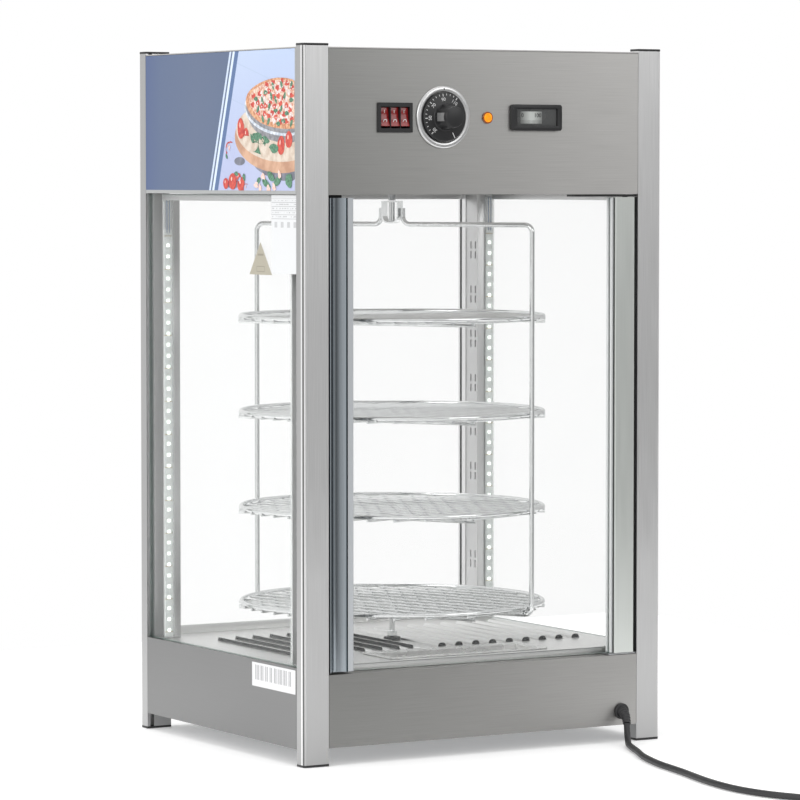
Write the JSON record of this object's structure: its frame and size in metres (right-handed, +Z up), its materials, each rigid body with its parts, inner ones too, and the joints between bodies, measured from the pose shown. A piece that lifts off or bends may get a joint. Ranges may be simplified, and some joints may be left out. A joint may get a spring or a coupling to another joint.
{
  "type": "hot food display case",
  "caption": "Countertop heated display case with glass walls, a hinged front door, a control head above and a turning rack of round wire shelves.",
  "frame": {"origin": "on the ground under the middle of the case, halfway between the outer faces of its posts; the posts stand on z = 0", "axes": "+X to the right along the door side, +Y from the door side to the back, +Z up"},
  "size_m": [0.452, 0.8978, 0.765],
  "materials": {
    "aluminium": "satin, brushed along its length",
    "stainless": "brushed folded sheet",
    "chrome": "bright plated wire",
    "zinc_steel": "zinc-plated steel",
    "glass": "clear tempered glass",
    "black_plastic": "black moulded plastic",
    "rubber": "black rubber",
    "red_plastic": "dark red, translucent",
    "amber_plastic": "amber lens",
    "print": "printed panel",
    "led": "white light strip under a clear cover"
  },
  "bodies": {
    "root": {"post_front_left": "aluminium", "post_front_right": "aluminium", "post_back_left": "aluminium", "post_back_right": "aluminium", "header_front_panel": "stainless", "sign_left": "print", "sign_right": "print", "header_back_panel": "stainless", "top_cover": "stainless", "cavity_ceiling": "stainless", "front_skirt": "stainless", "left_skirt": "stainless", "right_skirt": "stainless", "back_skirt": "stainless", "heat_floor": "stainless", "bottom_cover": "zinc_steel", "left_glass": "glass", "right_glass": "glass", "back_glass": "glass", "corner_column_front_left": "aluminium", "corner_column_front_right": "aluminium", "corner_column_back_left": "aluminium", "corner_column_back_right": "aluminium", "led_bar_front_left": "led", "led_bar_front_right": "led", "led_bar_back_left": "led", "led_bar_back_right": "led", "door_pivot_top": "black_plastic", "door_pivot_bottom": "zinc_steel", "door_catch": "black_plastic", "switch_housing": "black_plastic", "thermostat_body": "zinc_steel", "dial_ring": "aluminium", "indicator_lamp": "amber_plastic", "thermometer": "black_plastic", "floor_bush": "black_plastic", "gear_motor": "zinc_steel", "floor_heater": "zinc_steel", "cord_gland": "rubber", "power_cord": "rubber", "cord_coil": "rubber", "plug": "rubber"},
    "door": {"door_glass": "glass", "door_handle_stile": "aluminium", "door_hinge_stile": "aluminium", "door_seal": "rubber", "door_bush_bottom": "black_plastic", "door_bush_top": "black_plastic"},
    "rack": {"drive_shaft": "zinc_steel", "rack_hub": "chrome", "rack_frame": "chrome", "shelf_1": "chrome", "shelf_2": "chrome", "shelf_3": "chrome", "shelf_4": "chrome"},
    "knob": {"thermostat_knob": "black_plastic"},
    "heat_rocker": {"rocker_heat": "red_plastic"},
    "light_rocker": {"rocker_light": "red_plastic"},
    "rotate_rocker": {"rocker_rotate": "red_plastic"},
    "pan": {"water_pan": "stainless"}
  },
  "joints": [
    {"name": "door_hinge", "type": "hinge", "parent": "root", "child": "door", "pos_m": [0.184, -0.182, 0.351], "axis": [0, 0, 1], "range_deg": [0, 110]},
    {"name": "rack_spin", "type": "hinge", "parent": "root", "child": "rack", "pos_m": [-0.005, 0.003, 0.351], "axis": [0, 0, 1], "continuous": true},
    {"name": "knob_turn", "type": "hinge", "parent": "root", "child": "knob", "pos_m": [-0.0552, -0.2, 0.6885], "axis": [0, 1, 0], "range_deg": [0, 270]},
    {"name": "heat_rocker_tilt", "type": "hinge", "parent": "root", "child": "heat_rocker", "pos_m": [-0.12725, -0.186, 0.6878], "axis": [1, 0, 0], "range_deg": [0, 20]},
    {"name": "light_rocker_tilt", "type": "hinge", "parent": "root", "child": "light_rocker", "pos_m": [-0.11515, -0.186, 0.6878], "axis": [1, 0, 0], "range_deg": [0, 20]},
    {"name": "rotate_rocker_tilt", "type": "hinge", "parent": "root", "child": "rotate_rocker", "pos_m": [-0.10305, -0.186, 0.6878], "axis": [1, 0, 0], "range_deg": [0, 20]},
    {"name": "water_pan_lift", "type": "slide", "parent": "root", "child": "pan", "axis": [0, 0, 1], "range_m": [0, 0.03]}
  ]
}
